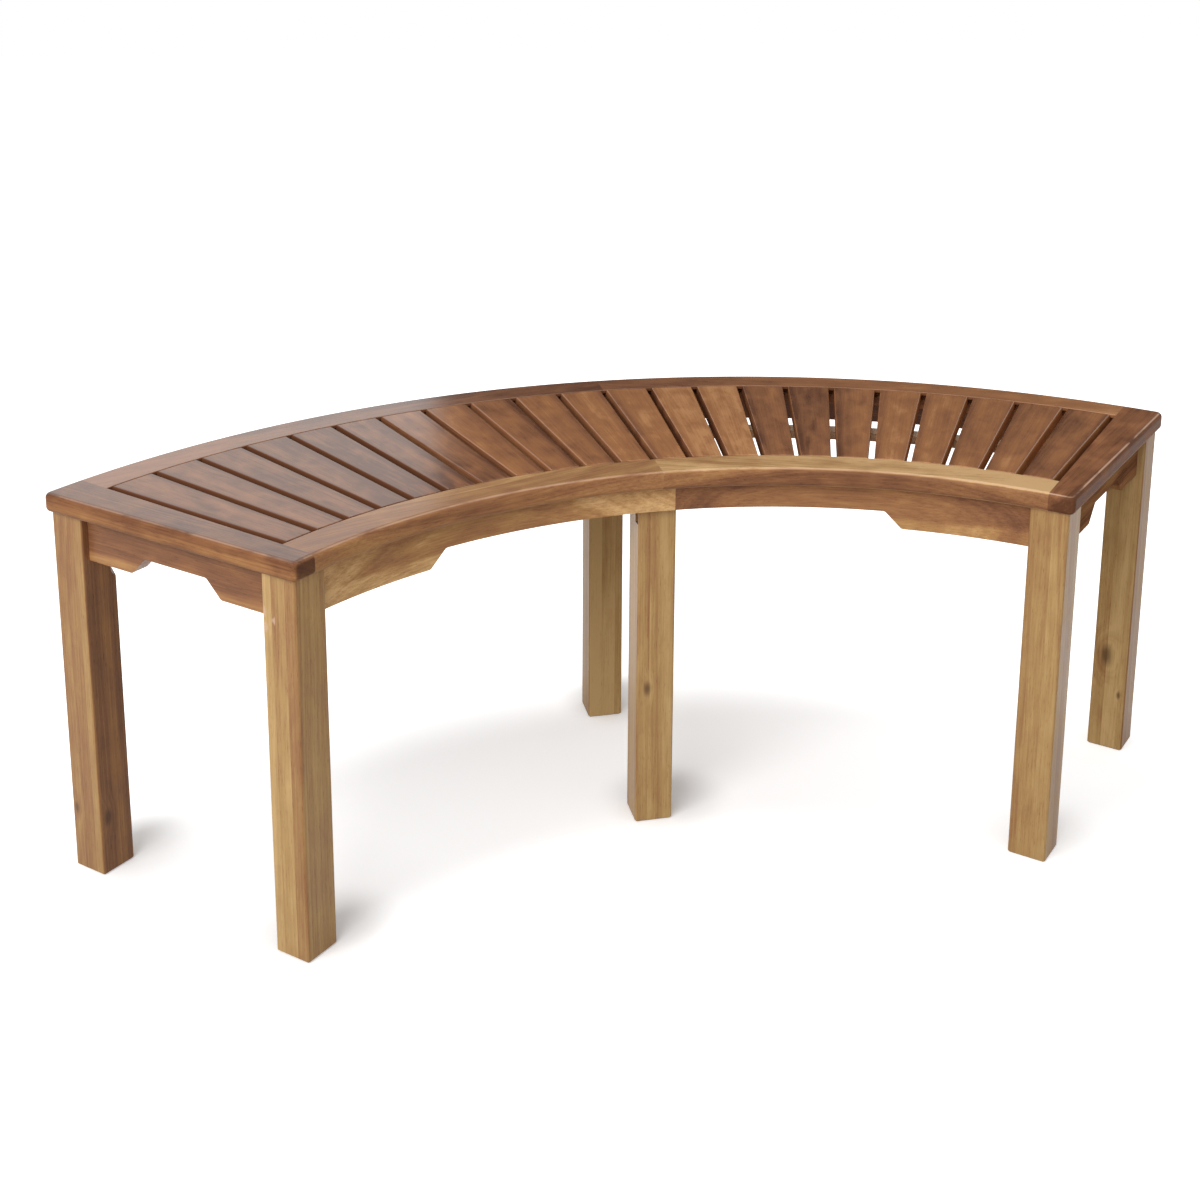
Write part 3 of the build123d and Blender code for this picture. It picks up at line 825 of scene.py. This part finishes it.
@dataclass
class Underframe:
    """Legs, aprons, bearer and corner blocks."""

    leg_strip: float = 0.018
    leg_tones: dict[str, Tone] = field(default_factory=lambda: {
        "front_left": Tone.GOLDEN, "rear_left": Tone.TAN, "front_right": Tone.GOLDEN,
        "rear_right": Tone.PALE, "front_middle": Tone.GOLDEN, "rear_middle": Tone.PALE,
    })
    leg_knots: dict[str, list[Spot]] = field(default_factory=lambda: {
        "front_middle": [Spot(-0.041, -0.010, -0.0225, 0.005)],
        "rear_left": [Spot(-0.146, -0.0225, 0.0117, 0.006), Spot(-0.139, 0.015, 0.0225, 0.004)],
        "rear_right": [Spot(-0.085, -0.006, -0.0225, 0.008), Spot(-0.137, 0.0137, -0.0225, 0.003)],
    })
    leg_scuffs: dict[str, list[Spot]] = field(default_factory=lambda: {
        "front_left": [Spot(0.172, 0.019, 0.0225, 0.003), Spot(0.156, 0.018, 0.0225, 0.003),
                       Spot(0.165, 0.008, 0.0225, 0.002)],
    })
    dull_legs: tuple[str, ...] = ("rear_right", "rear_middle")
    # Painted shade on one face of each rear leg, where the seat shades it
    painted_shade_step: float = -0.32
    painted_shade_sides: dict[str, Vector] = field(default_factory=lambda: {
        "rear_left": -outward(-HALF_ANGLE), "rear_right": along(HALF_ANGLE), "rear_middle": -along(0),
    })
    apron_tones: dict[str, Tone] = field(default_factory=lambda: {
        "front_left": Tone.GOLDEN, "front_right": Tone.RUSSET, "rear_left": Tone.BROWN,
        "rear_right": Tone.BROWN,
    })
    apron_sap_line: float = -0.008
    end_apron_sap_line: float = -0.018
    # Painted shade on the rear aprons' hollow faces, which lie in shade under the seat
    rear_painted_hollow_shade: float = -0.5
    spliced_apron: str = "front_left"
    splice_place: float = 0.102
    splice_step: float = 0.05

    def dress(self) -> None:
        """Give every piece of the underframe its board and finish."""
        for name, side in SIDES:
            end = side * HALF_ANGLE
            across = outward(end) if side < 0 else along(end)
            for row in ROWS:
                self._dress_leg(f"{row}_{name}", across)
                self._dress_apron(row, name, side)
                grain = outward(end) if row == "front" else along(end)
                Board(f"corner_block_{row}_{name}", grain, UP, Tone.TAN).dress(INNER_WOOD)
            end_apron = Board(f"apron_end_{name}", outward(end), UP, Tone.RUSSET)
            end_apron.sap_line = self.end_apron_sap_line
            end_apron.dress(APRON_WOOD if side < 0 else DULL_APRON_WOOD)
        for row in ROWS:
            self._dress_leg(f"{row}_middle", along(0))
        Board("middle_bearer", outward(0), along(0), Tone.TAN).dress(INNER_WOOD)

    def _dress_apron(self, row: str, name: str, side: int) -> None:
        """Give one half of a curved apron its board and finish.

        Args:
            row: front or rear.
            name: left or right.
            side: -1 for left, 1 for right.
        """
        angle = side * CHORD_ANGLE
        corner = f"{row}_{name}"
        apron = Board(f"apron_{corner}", along(angle), UP, self.apron_tones[corner])
        apron.sap_line = self.apron_sap_line
        if corner == self.spliced_apron:
            apron.joint = self.splice_place
            apron.joint_step = self.splice_step
        # Painted shade on a rear apron's hollow face
        if row == "rear":
            apron.side = -outward(angle)
            apron.painted_side_shade = self.rear_painted_hollow_shade
        apron.dress(APRON_WOOD)

    def _dress_leg(self, corner: str, across: Vector) -> None:
        """Give one leg its board and finish.

        Args:
            corner: the leg's row and side.
            across: direction over the leg's glued strips.
        """
        leg = Board(f"leg_{corner}", UP, across, self.leg_tones[corner], self.leg_strip)
        leg.knots = self.leg_knots.get(corner, [])
        leg.scuffs = self.leg_scuffs.get(corner, [])
        # Painted shade on the leg's shaded face
        if corner in self.painted_shade_sides:
            leg.side = self.painted_shade_sides[corner]
            leg.painted_side_shade = self.painted_shade_step
        leg.dress(DULL_LEG_WOOD if corner in self.dull_legs else LEG_WOOD)


@dataclass
class Hardware:
    """Steel fasteners and wooden dowels inside the joints."""

    steel_nodes: tuple[str, ...] = (
        "hanger_bolts", "bolt_washers", "bolt_nuts",
        "slat_screws", "seat_screws", "block_screws", "leg_screws",
    )
    dowel_nodes: tuple[str, ...] = ("rail_dowels", "apron_dowels", "bearer_dowels")

    def dress(self) -> None:
        """Give the fasteners their finishes."""
        steel = ZincSteel().material()
        for node in self.steel_nodes:
            give_material(node, steel)
        for node in self.dowel_nodes:
            Board(node, along(0), outward(0), Tone.TAN).dress(DOWEL_WOOD)


@dataclass
class Studio:
    """Pale floor with painted shadow near the bench, white surroundings, a soft lamp, a dark card and the
    camera of the photograph.
    """

    floor_side: float = 16.0
    seen_floor: Colour = (0.9, 0.9, 0.9)
    bounce_floor: Colour = (0.46, 0.45, 0.44)
    # Painted shadow in the floor's own light: less under the seat, least just behind each foot, and lighter
    # towards the right
    shadow_radius: float = 0.75
    shadow_reach: Reach = (0.10, 0.32)
    painted_foot_shadow_reach: Reach = (0.02, 0.09)
    painted_foot_shadow_shift: Place = (0.028, 0.028, 0.0)
    painted_foot_shadow_share: float = 0.38
    floor_glow: float = 0.37
    right_reach: Reach = (0.1, 0.5)
    right_share: float = 0.40
    right_glow: float = 0.12
    fill_strength: float = 0.5
    lamp_place: Place = (-2.1, -2.3, 2.6)
    lamp_target: Place = (0.0, 0.0, 0.3)
    lamp_side: float = 2.6
    lamp_power: float = 95.0
    card_width: float = 2.5
    card_height: float = 3.0
    card_place: Place = (1.37, 3.0, 1.6)
    card_colour: Colour = (0.06, 0.06, 0.065)
    eye: Place = (-0.4740, -1.2079 + ARC_CENTRE_Y, 1.1348)
    yaw: float = 0.2463
    pitch: float = 0.235
    roll: float = 0.0120
    focal_pixels: float = 1748.5
    principal_point: tuple[float, float] = (647.4, 265.3)
    sensor: float = 36.0

    def build(self) -> None:
        """Build floor, surroundings, lamp, card and camera."""
        self._floor()
        self._world()
        self._lamp()
        self._card()
        self._camera()

    def _floor(self) -> None:
        """Lay a wide plane that takes shadows near the bench, with painted shadow in its own light there,
        and is white further off.
        """
        bpy.ops.object.select_all(action="DESELECT")
        bpy.ops.mesh.primitive_plane_add(size=self.floor_side, location=(0, 0, 0))
        floor = bpy.context.active_object
        floor.name = "studio_floor"
        graph = Graph(bpy.data.materials.new("pale_floor"))
        seen = graph.seen()
        colour = graph.mix(seen, self.bounce_floor, self.seen_floor)
        glow = graph.mix(seen * self._floor_light_with_painted_shadow(graph), BLACK, WHITE)
        paint = graph.node("ShaderNodeBsdfDiffuse", {}, {"Color": colour})
        light = graph.node("ShaderNodeEmission", {}, {"Color": glow})
        both = graph.node("ShaderNodeAddShader", {}, {0: paint.outputs[0], 1: light.outputs[0]})
        floor.data.materials.append(graph.finish(both.outputs[0]))
        log.info("floor: %.1f m square", self.floor_side)

    def _floor_light_with_painted_shadow(self, graph: Graph) -> Value:
        """Share of the floor's own light, with painted shadow: less under the seat, least beside the feet
        and more towards the right.

        Args:
            graph: the floor's nodes.

        Returns:
            The share.
        """
        from_seat = abs(self._distance(graph, Vector((0, ARC_CENTRE_Y, 0))) - self.shadow_radius)
        from_foot = from_seat + 1.0
        for leg in LEG_NODES:
            low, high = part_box(leg)
            from_foot = from_foot.least(self._distance(graph, (low + high) / 2 + Vector(self.painted_foot_shadow_shift)))
        rightward = graph.split(graph.point())[0].smooth(*self.right_reach)
        shade = from_seat.smooth(*self.shadow_reach) * (1 - self.floor_glow) + self.floor_glow
        shade = shade + rightward * self.right_glow
        painted_foot_shadow_share = rightward * self.right_share + self.painted_foot_shadow_share
        return shade * (from_foot.smooth(*self.painted_foot_shadow_reach) * (1 - painted_foot_shadow_share) + painted_foot_shadow_share)

    @staticmethod
    def _distance(graph: Graph, point: Vector) -> Value:
        """Level distance of the floor from a point."""
        x, y, _ = graph.split(graph.vector("SUBTRACT", graph.point(), point))
        return (x * x + y * y).root()

    def _world(self) -> None:
        """Make the surroundings white to the eye and in gloss, and softer as light."""
        graph = Graph(bpy.data.worlds.new("studio_air"))
        white = (*WHITE, 1.0)
        fill = graph.node("ShaderNodeBackground", {}, {"Color": white, "Strength": self.fill_strength})
        plain = graph.node("ShaderNodeBackground", {}, {"Color": white})
        blend = graph.node("ShaderNodeMixShader", {}, {
            0: graph.seen(),
            1: fill.outputs[0],
            2: plain.outputs[0],
        })
        bpy.context.scene.world = graph.finish(blend.outputs[0])

    def _lamp(self) -> None:
        """Hang a square soft lamp that faces the bench."""
        data = bpy.data.lights.new("key_lamp", "AREA")
        data.size = self.lamp_side
        data.energy = self.lamp_power
        lamp = bpy.data.objects.new("key_lamp", data)
        lamp.location = self.lamp_place
        aim = Vector(self.lamp_target) - Vector(self.lamp_place)
        lamp.rotation_euler = aim.to_track_quat("-Z", "Y").to_euler()
        bpy.context.scene.collection.objects.link(lamp)
        log.info("key_lamp: %.0f W", self.lamp_power)

    def _card(self) -> None:
        """Stand up a dark card behind the bench that shows only in gloss."""
        bpy.ops.object.select_all(action="DESELECT")
        bpy.ops.mesh.primitive_plane_add(size=1.0, location=(0, 0, 0))
        card = bpy.context.active_object
        card.name = "back_card"
        bpy.ops.transform.rotate(value=math.radians(90), orient_axis="X", center_override=(0, 0, 0))
        bpy.ops.transform.resize(value=(self.card_width, 1.0, self.card_height))
        bpy.ops.transform.translate(value=self.card_place)
        bpy.ops.object.transform_apply(location=True, rotation=True, scale=True)
        graph = Graph(bpy.data.materials.new("dark_felt_back_card"))
        felt = graph.node("ShaderNodeBsdfDiffuse", {}, {"Color": (*self.card_colour, 1.0)})
        card.data.materials.append(graph.finish(felt.outputs[0]))
        card.visible_camera = False
        card.visible_diffuse = False
        card.visible_transmission = False
        card.visible_shadow = False
        log.info("back_card: seen in gloss only")

    def _camera(self) -> None:
        """Stand the camera where the photograph was taken from."""
        data = bpy.data.cameras.new("photo_camera")
        data.sensor_width = self.sensor
        data.lens = self.focal_pixels * self.sensor / PHOTO_SIDE
        data.shift_x = (PHOTO_SIDE / 2 - self.principal_point[0]) / PHOTO_SIDE
        data.shift_y = (self.principal_point[1] - PHOTO_SIDE / 2) / PHOTO_SIDE
        ahead = Vector((
            math.sin(self.yaw) * math.cos(self.pitch),
            math.cos(self.yaw) * math.cos(self.pitch),
            -math.sin(self.pitch),
        ))
        level_right = Vector((math.cos(self.yaw), -math.sin(self.yaw), 0))
        level_up = level_right.cross(ahead)
        right = level_right * math.cos(self.roll) + level_up * math.sin(self.roll)
        top = level_up * math.cos(self.roll) - level_right * math.sin(self.roll)
        camera = bpy.data.objects.new("photo_camera", data)
        turn = Matrix((right, top, -ahead)).transposed()
        camera.matrix_world = Matrix.Translation(self.eye) @ turn.to_4x4()
        bpy.context.scene.collection.objects.link(camera)
        bpy.context.scene.camera = camera
        log.info("photo_camera: %.1f mm lens", data.lens)


def main() -> None:
    """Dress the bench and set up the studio."""
    logging.basicConfig(level=logging.INFO, format="%(name)s: %(message)s")
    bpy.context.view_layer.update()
    bpy.context.scene.view_settings.view_transform = "Standard"
    SlatField().dress()
    SeatFrame().dress()
    Underframe().dress()
    Hardware().dress()
    Studio().build()


if __name__ == "__main__":
    main()
